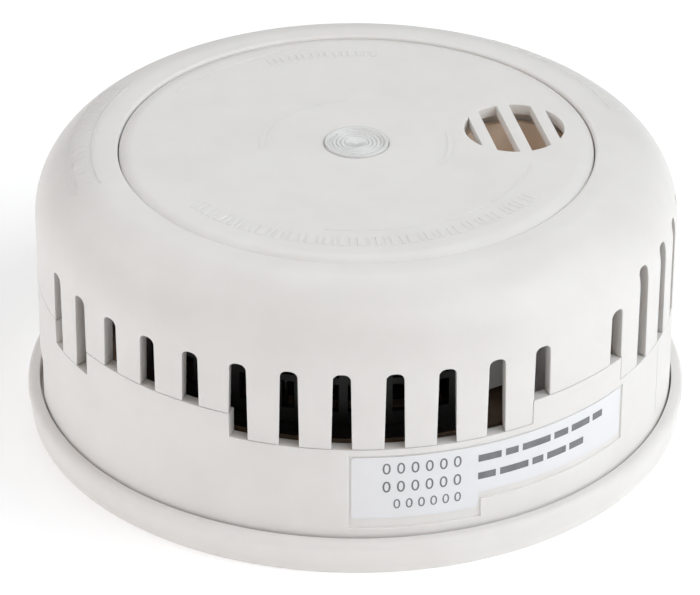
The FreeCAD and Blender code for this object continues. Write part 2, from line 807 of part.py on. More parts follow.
# ---- battery -------------------------------------------------------------------------------------
def lying(section, start_x):
    """A turned solid laid along X, its own axis on the battery's axis."""
    solid = section.revolve(CENTRE, UP, 360)
    solid.rotate(CENTRE, Vector(0, 1, 0), 90)
    solid.translate(Vector(start_x, battery_centre_y, battery_axis_z))
    return solid


def battery_cell():
    """A lithium cell with a raised button at its positive end."""
    rounding = battery_edge_radius
    can_length = battery_length - battery_button_height
    centre = (battery_radius - rounding, can_length - rounding)
    section = outline(
        (0, 0), (battery_radius - rounding, 0), (battery_radius, rounding), (battery_radius, centre[1]),
        (arc_point(centre, rounding, 45), (centre[0], can_length)),
        (battery_button_radius, can_length), (battery_button_radius, battery_length), (0, battery_length))
    return lying(section, battery_centre_x - battery_length / 2)


def battery_tabs():
    """Two welded metal strips, each with a foot soldered to the board."""
    tabs = []
    for side in (-1, 1):
        face_x = battery_centre_x + side * battery_length / 2
        foot_end = face_x + side * (battery_end_gap + tab_foot)
        low_x = min(face_x, face_x + side * tab_thickness)
        upright = Part.makeBox(tab_thickness, tab_width, board_top + tab_thickness - battery_axis_z + 2,
                               Vector(low_x, battery_centre_y - tab_width / 2, battery_axis_z - 2))
        foot_low = min(face_x, foot_end)
        foot = Part.makeBox(abs(foot_end - face_x), tab_width, tab_thickness,
                            Vector(foot_low, battery_centre_y - tab_width / 2, board_top))
        tabs.append(joined(upright, [foot]))
    return Part.makeCompound(tabs)


def battery_pad():
    """A strip of foam tape between the cell and the housing, between the saddles."""
    length = cradle_places[1] - cradle_places[0] - cradle_wall - 2
    size = (length, battery_radius, battery_pad_thickness)
    return block(size, panel_top, (battery_centre_x, battery_centre_y))


# ---- sounder -------------------------------------------------------------------------------------
def sounder_base():
    """A cup on the board, with a ledge inside for the piezo disc and a window for its wires."""
    place = polar(grille_offset, grille_angle)
    bore = sounder_radius - sounder_wall
    ledge_top = piezo_under - piezo_gasket_thickness
    cup = cylinder(sounder_radius, board_top, sounder_top, place)
    hollow = [cylinder(bore, ledge_top, sounder_top + 1, place),
              cylinder(bore - piezo_ledge_width, board_top + sounder_wall, sounder_top, place),
              cylinder(bore, board_top + sounder_wall, ledge_top - piezo_ledge_height, place)]
    wire_z = board_top + sounder_wire_rise + sounder_wire_bend
    window = block((3 * sounder_wall, 3 * sounder_wire_pitch + 1, 2.4), wire_z - 1.2,
                   (place[0] - sounder_radius + sounder_wall / 2, place[1]))
    return cup.cut(hollow + [window]).removeSplitter()


def piezo_gasket():
    place = polar(grille_offset, grille_angle)
    return tube(piezo_radius, piezo_radius - piezo_ledge_width + 0.4,
                piezo_under - piezo_gasket_thickness, piezo_under, place)


def piezo_plate():
    place = polar(grille_offset, grille_angle)
    return cylinder(piezo_radius, piezo_under, piezo_under + piezo_plate_thickness, place)


def piezo_ceramic():
    place = polar(grille_offset, grille_angle)
    bottom = piezo_under + piezo_plate_thickness
    return cylinder(piezo_radius - piezo_ceramic_inset, bottom, bottom + piezo_ceramic_thickness, place)


def sounder_horn():
    """The lid that clamps the piezo disc and flares up to the grille."""
    clamp_under = piezo_under + piezo_plate_thickness
    flange_top = sounder_top + horn_flange
    mouth = button_under - button_travel - horn_button_gap
    section = outline(
        (horn_port_radius, sounder_top), (piezo_radius - horn_clamp_wall, sounder_top),
        (piezo_radius - horn_clamp_wall, clamp_under), (piezo_radius, clamp_under),
        (piezo_radius, sounder_top), (sounder_radius, sounder_top), (sounder_radius, flange_top - 0.6),
        (sounder_radius - 0.6, flange_top), (horn_mouth_radius + horn_wall + 1.2, flange_top),
        (horn_mouth_radius + horn_wall, flange_top + 1.2), (horn_mouth_radius + horn_wall, mouth),
        (horn_mouth_radius, mouth), (horn_throat_radius, sounder_top + horn_wall + 0.8),
        (horn_port_radius, sounder_top + horn_wall))
    return turned(section, polar(grille_offset, grille_angle))


def sounder_wires():
    """Three insulated wires that rise from the board, bend over and enter the sounder's window."""
    place = polar(grille_offset, grille_angle)
    wires = []
    for number in (-1, 0, 1):
        y = place[1] + number * sounder_wire_pitch
        x = place[0] - sounder_radius - sounder_wire_bend - 2
        bend = sounder_wire_bend
        knee = board_top + sounder_wire_rise
        middle = Vector(x + bend * (1 - math.cos(math.pi / 4)), y, knee + bend * math.sin(math.pi / 4))
        over = Vector(x + bend, y, knee + bend)
        path = Part.Wire([
            Part.makeLine(Vector(x, y, board_top), Vector(x, y, knee)),
            Part.Arc(Vector(x, y, knee), middle, over).toShape(),
            Part.makeLine(over, over + Vector(sounder_wire_reach, 0, 0))])
        circle = Part.Wire(Part.makeCircle(sounder_wire_radius, Vector(x, y, board_top), UP))
        wires.append(path.makePipeShell([circle], True, False))
    return Part.makeCompound(wires)


# ---- heat sensor ---------------------------------------------------------------------------------
def thermistor_guard():
    """A black roofed cage with two rows of windows in its outer wall and a foot on the board."""
    shell = ring_part(guard_inner_radius, guard_outer_radius, board_top, guard_top,
                      guard_start_angle, guard_end_angle)
    side_angle = math.degrees(guard_wall / guard_outer_radius)
    hollow = ring_part(guard_inner_radius + guard_wall, guard_outer_radius - guard_wall, board_top - 1,
                       guard_top - guard_wall, guard_start_angle + side_angle, guard_end_angle - side_angle)
    half_window = math.degrees(guard_window_width / 2 / guard_outer_radius)
    span = guard_end_angle - guard_start_angle - 3 * side_angle
    count = int(span / guard_window_pitch)
    first = (guard_start_angle + guard_end_angle - (count - 1) * guard_window_pitch) / 2
    windows = []
    for row in range(2):
        sill = board_top + guard_window_sill + row * (guard_window_height + guard_window_band)
        for number in range(count):
            angle = first + number * guard_window_pitch
            windows.append(ring_part(guard_outer_radius - 2 * guard_wall, guard_outer_radius + 1, sill,
                                     sill + guard_window_height, angle - half_window, angle + half_window))
    foot = ring_part(guard_outer_radius - guard_wall / 2, guard_outer_radius + guard_foot_reach, board_top,
                     board_top + guard_foot_thickness, guard_foot_start_angle, guard_end_angle)
    return joined(shell.cut([hollow] + windows), [foot])


def sensor_places():
    """Where the two leads of the heat sensor stand."""
    circle = (guard_inner_radius + guard_outer_radius) / 2
    swing = math.degrees(sensor_lead_pitch / 2 / circle)
    return [polar(circle, sensor_angle + side * swing) for side in (-1, 1)]


def thermistor():
    """The bead that senses heat."""
    circle = (guard_inner_radius + guard_outer_radius) / 2
    place = polar(circle, sensor_angle)
    return Part.makeSphere(sensor_bead_radius, Vector(place[0], place[1], board_top + sensor_height))


def thermistor_leads():
    top = board_top + sensor_height
    bead = thermistor()
    leads = [cylinder(sensor_lead_radius, board_top, top, place).cut(bead) for place in sensor_places()]
    return Part.makeCompound(leads)


# ---- lamp and switches ---------------------------------------------------------------------------
def status_led():
    """A round lamp with a domed top."""
    shoulder = led_top - led_radius
    section = outline(
        (0, led_base), (led_flange_radius, led_base), (led_flange_radius, led_base + led_flange_height),
        (led_radius, led_base + led_flange_height), (led_radius, shoulder),
        (arc_point((0, shoulder), led_radius, 45), (0, led_top)))
    return turned(section)


def led_legs():
    legs = [cylinder(led_leg_radius, board_top, led_base, (side * led_leg_spacing / 2, 0))
            for side in (-1, 1)]
    return Part.makeCompound(legs)


def led_spacer():
    """A short tube that holds the lamp up off the board."""
    return tube(led_spacer_radius, led_spacer_bore, board_top, led_base)


def test_switch_body():
    body = block((test_switch_side, test_switch_side, test_switch_height), board_top, test_switch_place)
    hole_bottom = board_top + test_switch_height - test_plunger_depth - button_travel - 0.2
    bore = test_plunger_radius + sliding_gap
    return body.cut(cylinder(bore, hole_bottom, board_top + 20, test_switch_place))


def test_switch_plunger():
    bottom = board_top + test_switch_height - test_plunger_depth
    return cylinder(test_plunger_radius, bottom, plunger_top, test_switch_place)


def power_switch_body():
    """The on-off slide switch under the board, open downward for its slider."""
    length, width, height = power_switch_size
    body = block(power_switch_size, board_under - height, power_switch_place)
    cavity = (power_slider_block[0] + power_switch_travel + 2 * power_slot_gap,
              power_slider_block[1] + 2 * sliding_gap, power_slider_block[2] + 2 * sliding_gap)
    cavity_place = (power_switch_place[0] + power_switch_travel / 2, power_switch_place[1])
    cavity_bottom = board_under - height + 1
    mouth = (power_slider_stem[0] + power_switch_travel + 2 * power_slot_gap,
             power_slider_stem[1] + 2 * sliding_gap, 3)
    return body.cut([block(cavity, cavity_bottom, cavity_place),
                     block(mouth, cavity_bottom - 2, cavity_place)])


def power_switch_slider():
    """The slider, a block inside the switch and a stem that shows in the back panel's slot."""
    block_bottom = board_under - power_switch_size[2] + 1 + sliding_gap
    tip = panel_under + power_slider_recess
    stem_size = (power_slider_stem[0], power_slider_stem[1], block_bottom + 1 - tip)
    stem = block(stem_size, tip, power_switch_place)
    return joined(block(power_slider_block, block_bottom, power_switch_place), [stem])


# ---- small electronic parts ----------------------------------------------------------------------
def microcontroller():
    """The control chip with its two rows of bent legs."""
    length, width, height = controller_size
    stand = 0.2
    body = block((length, width, height), board_top + stand, controller_place)
    leg_width, leg_reach, leg_thickness = controller_leg_size
    knee = board_top + stand + height / 2
    legs = []
    for side in (-1, 1):
        for number in range(controller_legs_per_side):
            x = controller_place[0] + (number - (controller_legs_per_side - 1) / 2) * controller_leg_pitch
            edge = controller_place[1] + side * width / 2
            upper = block((leg_width, 0.8, leg_thickness), knee, (x, edge + side * 0.3))
            drop = block((leg_width, leg_thickness, knee + leg_thickness - board_top), board_top,
                         (x, edge + side * 0.7))
            foot = block((leg_width, leg_reach / 2, leg_thickness), board_top,
                         (x, edge + side * (0.7 + leg_reach / 4)))
            legs.extend([upper, drop, foot])
    return joined(body, legs)


def electrolytic_capacitors():
    cans = []
    for x, y, radius, height in capacitors:
        rounding = capacitor_edge_radius
        section = outline(
            (0, board_top), (radius - rounding, board_top), (radius, board_top + rounding),
            (radius, board_top + 1.2), (radius - 0.3, board_top + 1.5), (radius, board_top + 1.8),
            (radius, board_top + height - rounding), (radius - rounding, board_top + height),
            (0, board_top + height))
        cans.append(turned(section, (x, y)))
    return Part.makeCompound(cans)


def sounder_coil():
    """The step-up coil that drives the sounder, wound on a bobbin."""
    top = board_top + coil_height
    waist = coil_radius - coil_waist
    section = outline(
        (0, board_top), (coil_radius, board_top), (coil_radius, board_top + coil_flange),
        (waist, board_top + coil_flange), (waist, top - coil_flange), (coil_radius, top - coil_flange),
        (coil_radius, top), (0, top))
    return turned(section, coil_place)


def transistor_pair():
    """Two small transistors standing on three legs each."""
    pieces = []
    for place in transistors:
        bottom = board_top + transistor_leg_height
        round_body = cylinder(transistor_radius, bottom, bottom + transistor_height, place)
        flat = block((4 * transistor_radius, 2 * transistor_radius, 2 * transistor_height), bottom - 1,
                     (place[0], place[1] - transistor_flat - transistor_radius))
        legs = [block((transistor_leg_side, transistor_leg_side, transistor_leg_height + 0.5), board_top,
                      (place[0] + number * transistor_leg_pitch, place[1])) for number in (-1, 0, 1)]
        pieces.append(joined(round_body.cut(flat), legs))
    return Part.makeCompound(pieces)


def chip_resistors():
    chips = []
    for row_x, row_y, count in chip_rows:
        for number in range(count):
            chips.append(block(chip_size, board_top, (row_x + number * chip_pitch, row_y)))
    return Part.makeCompound(chips)


def service_header():
    """A row of square pins in a moulded strip."""
    strip = block((header_pins * header_pitch, header_pitch, header_block_height), board_top, header_place)
    pins = []
    for number in range(header_pins):
        x = header_place[0] + (number - (header_pins - 1) / 2) * header_pitch
        size = (header_pin_side, header_pin_side, header_pin_height)
        pins.append(block(size, board_top, (x, header_place[1])))
    return joined(strip, pins)


NODES = {
    "mounting_plate": mounting_plate,
    "rear_housing": rear_housing,
    "front_cover": front_cover,
    "housing_screws": housing_screws,
    "date_label": date_label,
    "test_button": test_button,
    "light_lens": light_lens,
    "button_springs": button_springs,
    "circuit_board": circuit_board,
    "board_screws": board_screws,
    "battery_cell": battery_cell,
    "battery_tabs": battery_tabs,
    "battery_pad": battery_pad,
    "sounder_base": sounder_base,
    "piezo_gasket": piezo_gasket,
    "piezo_plate": piezo_plate,
    "piezo_ceramic": piezo_ceramic,
    "sounder_horn": sounder_horn,
    "sounder_wires": sounder_wires,
    "thermistor_guard": thermistor_guard,
    "thermistor": thermistor,
    "thermistor_leads": thermistor_leads,
    "status_led": status_led,
    "led_legs": led_legs,
    "led_spacer": led_spacer,
    "test_switch_body": test_switch_body,
    "test_switch_plunger": test_switch_plunger,
    "power_switch_body": power_switch_body,
    "power_switch_slider": power_switch_slider,
    "microcontroller": microcontroller,
    "electrolytic_capacitors": electrolytic_capacitors,
    "sounder_coil": sounder_coil,
    "transistors": transistor_pair,
    "chip_resistors": chip_resistors,
    "service_header": service_header,
}

os.makedirs("parts", exist_ok=True)
for node, make in NODES.items():
    save(node, make())
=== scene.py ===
import math
import bmesh
import bpy
from mathutils import Matrix, Vector


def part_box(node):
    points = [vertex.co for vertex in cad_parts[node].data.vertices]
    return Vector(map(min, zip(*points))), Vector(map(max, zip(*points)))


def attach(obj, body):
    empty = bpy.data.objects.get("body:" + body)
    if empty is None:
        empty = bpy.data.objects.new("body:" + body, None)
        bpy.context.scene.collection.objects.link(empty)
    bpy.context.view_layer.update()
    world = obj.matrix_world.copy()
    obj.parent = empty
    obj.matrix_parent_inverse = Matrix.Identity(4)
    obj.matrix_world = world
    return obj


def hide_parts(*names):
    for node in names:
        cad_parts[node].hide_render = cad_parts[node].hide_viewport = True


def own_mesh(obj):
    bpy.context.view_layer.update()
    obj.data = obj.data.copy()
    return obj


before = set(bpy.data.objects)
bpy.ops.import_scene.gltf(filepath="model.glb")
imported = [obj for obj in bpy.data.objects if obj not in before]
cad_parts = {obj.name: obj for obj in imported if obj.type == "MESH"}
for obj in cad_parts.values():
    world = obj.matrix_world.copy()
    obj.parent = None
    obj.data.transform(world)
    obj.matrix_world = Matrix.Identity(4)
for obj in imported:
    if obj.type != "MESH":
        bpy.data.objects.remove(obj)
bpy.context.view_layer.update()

# ---- studio --------------------------------------------------------------------------------------
# A sheet of white paper on a light table, a large soft box to the right of the alarm, a weaker one
# to its left and a low one in front. The camera looks down on the alarm from arm's length.
mm = 0.001
camera_data = bpy.data.cameras.new("camera")
camera_data.sensor_width = 36.0
camera_data.lens = 211.76
camera_data.clip_start = 0.05
camera_data.clip_end = 20.0
camera = bpy.data.objects.new("camera", camera_data)
bpy.context.scene.collection.objects.link(camera)
bpy.context.scene.camera = camera
camera_pitch = math.radians(90 - 30.37)
camera_roll = math.radians(0.22)
camera.matrix_world = (Matrix.Translation(Vector((-1.0, -619.5, 382.4)) * mm)
                       @ Matrix.Rotation(camera_pitch, 4, "X") @ Matrix.Rotation(camera_roll, 4, "Z"))


def soft_box(name, azimuth, height_angle, distance, size, watts, colour):
    """A square studio light that faces the alarm; azimuth 0 is the camera's side, 90 its right."""
    lamp = bpy.data.lights.new(name, "AREA")
    lamp.size = size
    lamp.energy = watts
    lamp.color = colour
    box = bpy.data.objects.new(name, lamp)
    bpy.context.scene.collection.objects.link(box)
    azimuth = math.radians(azimuth)
    height_angle = math.radians(height_angle)
    towards = Vector((math.sin(azimuth) * math.cos(height_angle),
                      -math.cos(azimuth) * math.cos(height_angle), math.sin(height_angle)))
    box.location = towards * distance
    box.rotation_euler = (-towards).to_track_quat("-Z", "Y").to_euler()


for name, azimuth, height_angle, watts, colour in (
        ("right_soft_box", 75, 30, 4.5, (0.95, 0.99, 1.0)),
        ("low_right_soft_box", 80, 15, 1.4, (1.0, 0.92, 0.90)),
        ("far_right_soft_box", 100, 45, 2.4, (0.97, 0.99, 1.0)),
        ("front_right_soft_box", 50, 45, 4.9, (0.92, 0.96, 1.0)),
        ("front_soft_box", 0, 50, 1.5, (1.0, 0.94, 0.84)),
        ("low_left_soft_box", -45, 15, 3.1, (1.0, 0.91, 0.90)),
        ("left_soft_box", -100, 45, 4.1, (1.0, 0.96, 0.99)),
        ("side_soft_box", -90, 20, 2.0, (0.92, 1.0, 0.96)),
        ("back_soft_box", 180, 50, 3.6, (0.95, 0.99, 1.0))):
    soft_box(name, azimuth, height_angle, 1.2, 0.9, watts, colour)
studio_world = bpy.data.worlds.new("dark_studio")
studio_world.use_nodes = True
studio_world.node_tree.nodes["Background"].inputs["Strength"].default_value = 0.0
bpy.context.scene.world = studio_world
bpy.context.scene.view_settings.view_transform = "Standard"

table = bmesh.new()
bmesh.ops.create_grid(table, x_segments=1, y_segments=1, size=3.0)
table_mesh = bpy.data.meshes.new("light_table")
table.to_mesh(table_mesh)
light_table = bpy.data.objects.new("light_table", table_mesh)
bpy.context.scene.collection.objects.link(light_table)
table_paper = bpy.data.materials.new("light_table_paper")
table_paper.use_nodes = True
paper_shader = table_paper.node_tree.nodes["Principled BSDF"]
paper_shader.inputs["Base Color"].default_value = (0.9, 0.9, 0.9, 1)
paper_shader.inputs["Roughness"].default_value = 0.9
paper_shader.inputs["Emission Color"].default_value = (1, 1, 1, 1)
paper_shader.inputs["Emission Strength"].default_value = 0.26
table_mesh.materials.append(table_paper)

# ---- mounting plate ------------------------------------------------------------------------------
# The plate that two screws hold to the ceiling: a shallow dish, injection moulded in off-white ABS,
# with a bulged rim, a rib round its cable hole, padded screw slots and three bayonet keepers.


def finish(name, dark, light, patch, rough, grain, relief, metal=0.0, gloss=0.5):
    """A surface whose colour drifts between two shades in patches, with a fine grain in its relief."""
    surface = bpy.data.materials.new(name)
    surface.use_nodes = True
    nodes = surface.node_tree.nodes
    links = surface.node_tree.links
    shader = nodes["Principled BSDF"]
    shader.inputs["Metallic"].default_value = metal
    shader.inputs["Specular IOR Level"].default_value = gloss
    place = nodes.new("ShaderNodeTexCoord")
    patches = nodes.new("ShaderNodeTexNoise")
    patches.inputs["Scale"].default_value = 1 / (patch * mm)
    patches.inputs["Detail"].default_value = 4.0
    shades = nodes.new("ShaderNodeValToRGB")
    shades.color_ramp.elements[0].position = 0.35
    shades.color_ramp.elements[0].color = (*dark, 1)
    shades.color_ramp.elements[1].position = 0.65
    shades.color_ramp.elements[1].color = (*light, 1)
    sheen = nodes.new("ShaderNodeMapRange")
    sheen.inputs["To Min"].default_value = rough[0]
    sheen.inputs["To Max"].default_value = rough[1]
    sand = nodes.new("ShaderNodeTexNoise")
    sand.inputs["Scale"].default_value = 1 / (grain * mm)
    sand.inputs["Detail"].default_value = 2.0
    bump = nodes.new("ShaderNodeBump")
    bump.inputs["Strength"].default_value = 1.0
    bump.inputs["Distance"].default_value = relief * mm
    links.new(place.outputs["Object"], patches.inputs["Vector"])
    links.new(place.outputs["Object"], sand.inputs["Vector"])
    links.new(patches.outputs["Fac"], shades.inputs["Fac"])
    links.new(shades.outputs["Color"], shader.inputs["Base Color"])
    links.new(patches.outputs["Fac"], sheen.inputs["Value"])
    links.new(sheen.outputs["Result"], shader.inputs["Roughness"])
    links.new(sand.outputs["Fac"], bump.inputs["Height"])
    links.new(bump.outputs["Normal"], shader.inputs["Normal"])
    return surface


def turned(corners, steps=240, start=0.0, sweep=360.0):
    """A closed outline of (radius, height) corners, in mm, spun round Z; a third number rounds one."""
    shape = bmesh.new()
    rounded = []
    loop = []
    for corner in corners:
        vertex = shape.verts.new((corner[0], 0, corner[1]))
        loop.append(vertex)
        if len(corner) > 2:
            rounded.append((vertex, corner[2]))
    shape.faces.new(loop)
    for vertex, size in rounded:
        bmesh.ops.bevel(shape, geom=[vertex], offset=size, offset_type="OFFSET", profile=0.5, material=-1,
                        segments=20 if size > 5 else 6 if size > 0.6 else 3, affect="VERTICES")
    whole = sweep == 360.0
    bmesh.ops.rotate(shape, verts=shape.verts, matrix=Matrix.Rotation(math.radians(start), 3, "Z"))
    if whole:
        bmesh.ops.delete(shape, geom=shape.faces[:], context="FACES_ONLY")
        on_axis = [edge for edge in shape.edges if all(v.co.to_2d().length < 1e-4 for v in edge.verts)]
        bmesh.ops.delete(shape, geom=on_axis, context="EDGES")
    bmesh.ops.spin(shape, geom=shape.verts[:] + shape.edges[:] + shape.faces[:], cent=(0, 0, 0),
                   axis=(0, 0, 1), angle=math.radians(sweep), steps=steps, use_merge=whole)
    bmesh.ops.remove_doubles(shape, verts=shape.verts, dist=1e-4)
    bmesh.ops.dissolve_degenerate(shape, edges=shape.edges, dist=1e-5)
    open_edges = [edge for edge in shape.edges if edge.is_boundary]
    if open_edges:
        bmesh.ops.holes_fill(shape, edges=open_edges, sides=0)
    bmesh.ops.recalc_face_normals(shape, faces=shape.faces)
    return shape


def swept(inner, outer, bottom, top, start, end):
    """A closed block between two radii, two heights and two angles."""
    corners = ((inner, bottom), (outer, bottom), (outer, top), (inner, top))
    return turned(corners, steps=max(2, math.ceil(abs(end - start) / 1.5)), start=start, sweep=end - start)


def post(radius, bottom, top, place=(0.0, 0.0), sides=48):
    """A closed round pin that stands along Z."""
    shape = bmesh.new()
    where = Matrix.Translation((place[0], place[1], (bottom + top) / 2))
    bmesh.ops.create_cone(shape, cap_ends=True, segments=sides, radius1=radius, radius2=radius,
                          depth=top - bottom, matrix=where)
    return shape


def gathered(shapes):
    """Several closed shapes in one."""
    whole = bmesh.new()
    for shape in shapes:
        part_mesh = bpy.data.meshes.new("part")
        shape.to_mesh(part_mesh)
        whole.from_mesh(part_mesh)
        bpy.data.meshes.remove(part_mesh)
        shape.free()
    return whole


def cut(shape, tools):
    """The shape less its tools, which don't overlap each other."""
    blank_mesh = bpy.data.meshes.new("blank")
    shape.to_mesh(blank_mesh)
    shape.free()
    blank = bpy.data.objects.new("blank", blank_mesh)
    tool_shape = gathered(tools)
    tool_mesh = bpy.data.meshes.new("tools")
    tool_shape.to_mesh(tool_mesh)
    tool_shape.free()
    tool = bpy.data.objects.new("tools", tool_mesh)
    for thing in (blank, tool):
        bpy.context.scene.collection.objects.link(thing)
    difference = blank.modifiers.new("cut", "BOOLEAN")
    difference.operation = "DIFFERENCE"
    difference.solver = "EXACT"
    difference.object = tool
    seen = blank.evaluated_get(bpy.context.evaluated_depsgraph_get())
    cut_mesh = bpy.data.meshes.new_from_object(seen)
    result = bmesh.new()
    result.from_mesh(cut_mesh)
    for thing in (blank, tool):
        bpy.data.objects.remove(thing)
    for mesh in (blank_mesh, tool_mesh, cut_mesh):
        bpy.data.meshes.remove(mesh)
    bmesh.ops.remove_doubles(result, verts=result.verts, dist=1e-3)
    bmesh.ops.dissolve_limit(result, angle_limit=math.radians(0.3), use_dissolve_boundaries=False,
                             verts=result.verts, edges=result.edges)
    return result


def eased(shape, size, segments=2):
    """The shape with its sharp edges broken by a small radius."""
    limit = math.radians(42)
    sharp = [edge for edge in shape.edges if edge.is_manifold and edge.calc_face_angle(0.0) > limit]
    bmesh.ops.bevel(shape, geom=sharp, offset=size, offset_type="OFFSET", segments=segments, profile=0.5,
                    affect="EDGES", clamp_overlap=False, material=-1)
    bmesh.ops.dissolve_degenerate(shape, edges=shape.edges, dist=1e-4)
    return shape


def piece(name, shape, surface, body, slot_name, *nodes):
    """The shape as a named piece, in metres, that rides on a body and stands for CAD nodes."""
    bmesh.ops.scale(shape, vec=(mm, mm, mm), verts=shape.verts)
    mesh = bpy.data.meshes.new(name)
    shape.to_mesh(mesh)
    shape.free()
    mesh.shade_smooth()
    mesh.set_sharp_from_angle(angle=math.radians(42))
    mesh.materials.append(surface)
    made = bpy.data.objects.new(name, mesh)
    bpy.context.scene.collection.objects.link(made)
    even = made.modifiers.new("even_shading", "WEIGHTED_NORMAL")
    even.keep_sharp = True
    even.weight = 60
    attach(made, body)
    if nodes:
        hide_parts(*nodes)
    return made


def polar(radius, angle):
    """A point at a radius and an angle in degrees, anticlockwise from +X."""
    return radius * math.cos(math.radians(angle)), radius * math.sin(math.radians(angle))


def slab(length, width, low, high, place=(0.0, 0.0), corner=0.0, turn=0.0):
    """A closed upright block, its four standing edges rounded, turned about Z after it is placed."""
    shape = bmesh.new()
    bmesh.ops.create_cube(shape, size=1.0)
    bmesh.ops.scale(shape, vec=(length, width, high - low), verts=shape.verts)
    if corner:
        standing = [e for e in shape.edges if abs(e.verts[0].co.z - e.verts[1].co.z) > 1e-6]
        bmesh.ops.bevel(shape, geom=standing, offset=corner, offset_type="OFFSET", segments=8, profile=0.5,
                        affect="EDGES", clamp_overlap=False, material=-1)
        bmesh.ops.remove_doubles(shape, verts=shape.verts, dist=1e-3)
    bmesh.ops.translate(shape, vec=(place[0], place[1], (low + high) / 2), verts=shape.verts)
    bmesh.ops.rotate(shape, verts=shape.verts, matrix=Matrix.Rotation(math.radians(turn), 3, "Z"))
    return shape


case_plastic = finish("case_abs", (0.78, 0.76, 0.74), (0.805, 0.788, 0.77), 9.0, (0.40, 0.47), 0.22, 0.004)
case_shader = case_plastic.node_tree.nodes["Principled BSDF"]
case_shader.inputs["Subsurface Weight"].default_value = 0.3
case_shader.inputs["Subsurface Radius"].default_value = (1.0, 0.85, 0.75)
case_shader.inputs["Subsurface Scale"].default_value = 2.0 * mm
plate_low, plate_high = (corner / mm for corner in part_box("mounting_plate"))
plate_radius = plate_high.x
rim_inner = 55.45
rim_top = 6.0
plate_floor = 2.0
dish = turned(((0, 0), (plate_radius - 0.55, 0, 0.35), (plate_radius - 0.55, 1.6, 0.1),
               (plate_radius, 4.2, 0.4), (plate_radius, rim_top, 1.3),
               (rim_inner, rim_top, 0.12), (rim_inner, plate_floor, 0.3), (0, plate_floor)))
slots = [slab(12.0, 4.6, -1.0, 4.0, (side * 30.0, 0.0), 2.29) for side in (-1, 1)]
plate_pieces = [eased(cut(dish, slots), 0.15)]
for side in (-1, 1):
    pad = slab(18.0, 10.6, plate_floor - 0.1, plate_floor + 0.8, (side * 30.0, 0.0), 5.29)
    plate_pieces.append(eased(cut(pad, [slab(12.0, 4.6, -1.0, 4.0, (side * 30.0, 0.0), 2.29)]), 0.15))
plate_pieces.append(turned(((17.0, 1.9), (18.2, 1.9), (18.2, 2.8, 0.2), (17.0, 2.8, 0.2)), steps=96))
for angle in (20.0, 140.0, 260.0):
    keeper_parts = (swept(50.4, 52.2, 1.9, 5.8, angle - 8.5, angle + 7.0),
                    swept(47.6, 52.2, 4.3, 5.7, angle - 8.5, angle + 7.0),
                    swept(47.6, 52.2, 1.9, 5.75, angle - 7.8, angle - 6.3),
                    swept(47.6, 50.4, 1.9, 3.9, angle + 21.5, angle + 23.0))
    plate_pieces.extend(eased(part, 0.12) for part in keeper_parts)
piece("mounting_plate_moulding", gathered(plate_pieces), case_plastic, "plate", "case_plastic", "mounting_plate")

# ---- rear housing --------------------------------------------------------------------------------
# The alarm's back half: a cup in the same off-white ABS whose skirt turns inside the plate's rim.
# Its floor carries the hooks of the bayonet, the posts for the screws and springs, and the cradle.
body_radius = 55.15
wall_inside = 52.85
seam_low = 22.9
seam_high = 27.26
raised_spans = ((-144.64, -112.06), (-58.06, -36.64), (80.36, 85.94), (179.36, 202.94))
cup = turned(((wall_inside, 2.5, 0.2), (body_radius, 2.5, 0.3), (body_radius, seam_high, 0.1),
              (wall_inside, seam_high, 0.1), (wall_inside, 8.5, 0.3), (0, 8.5), (0, 6.5),
              (wall_inside, 6.5, 0.3)), start=-154.6)
low_spans = [(raised_spans[i][1], raised_spans[(i + 1) % 4][0] + (360 if i == 3 else 0)) for i in range(4)]
cup = cut(cup, [swept(51.8, 56.2, seam_low, seam_high + 1, *span) for span in low_spans])
cup = cut(cup, [swept(54.8, 56.2, 7.65, 21.75, -91.2, -67.95), swept(53.95, 56.2, 0.0, 13.0, 168.6, 191.4),
                slab(6.8, 3.8, 5.0, 10.0, (-10.5, -20.0), 0.5)])
screw_posts = [polar(48.5, angle) for angle in (-47.35, 78.65, 195.65)]
cup = cut(cup, [swept(54.8, 56.2, 11.05, 21.75, -68.0, -35.8)]
          + [post(2.9, 5.0, 9.5, place) for place in screw_posts])
housing_pieces = [cut(eased(cup, 0.12), [swept(55.07, 56.2, 8.4, seam_low - 0.3, -21.55, -21.25)])]
for place in screw_posts:
    tower = turned(((1.6, 24.0), (3.6, 24.0, 0.15), (3.6, 7.5), (2.9, 7.5), (2.9, 18.0), (1.6, 18.0)), steps=40)
    bmesh.ops.translate(tower, vec=(*place, 0), verts=tower.verts)
    housing_pieces.append(tower)
for angle in (50.0, 165.0, 285.0):
    place = polar(33.2, angle)
    column = turned(((0, 7.5), (4.2, 7.5), (4.2, 20.0, 0.2), (3.2, 20.0), (3.2, 36.0, 0.2), (1.8, 36.0),
                     (1.8, 39.0, 0.4), (0, 39.0)), steps=40)
    bmesh.ops.translate(column, vec=(*place, 0), verts=column.verts)
    housing_pieces.append(column)
for angle in (95.0, 150.0, 329.0):
    housing_pieces.append(eased(post(3.0, 7.5, 20.0, polar(47.0, angle)), 0.15))
for angle in (20.0, 140.0, 260.0):
    housing_pieces.append(eased(swept(45.5, 47.2, 2.5, 7.5, angle - 6, angle + 6), 0.12))
    housing_pieces.append(eased(swept(45.5, 50.0, 2.5, 3.9, angle - 6, angle + 6), 0.12))
for offset in (-10.0, 10.0):
    cell_room = post(8.6, -20.0, 20.0, sides=64)
    bmesh.ops.rotate(cell_room, verts=cell_room.verts, matrix=Matrix.Rotation(math.pi / 2, 3, "Y"))
    bmesh.ops.translate(cell_room, vec=(-8.0, 23.1, 17.5), verts=cell_room.verts)
    saddle = slab(1.6, 19.2, 7.5, 13.5, (-8.0 + offset, 23.1))
    housing_pieces.append(eased(cut(saddle, [cell_room]), 0.12))
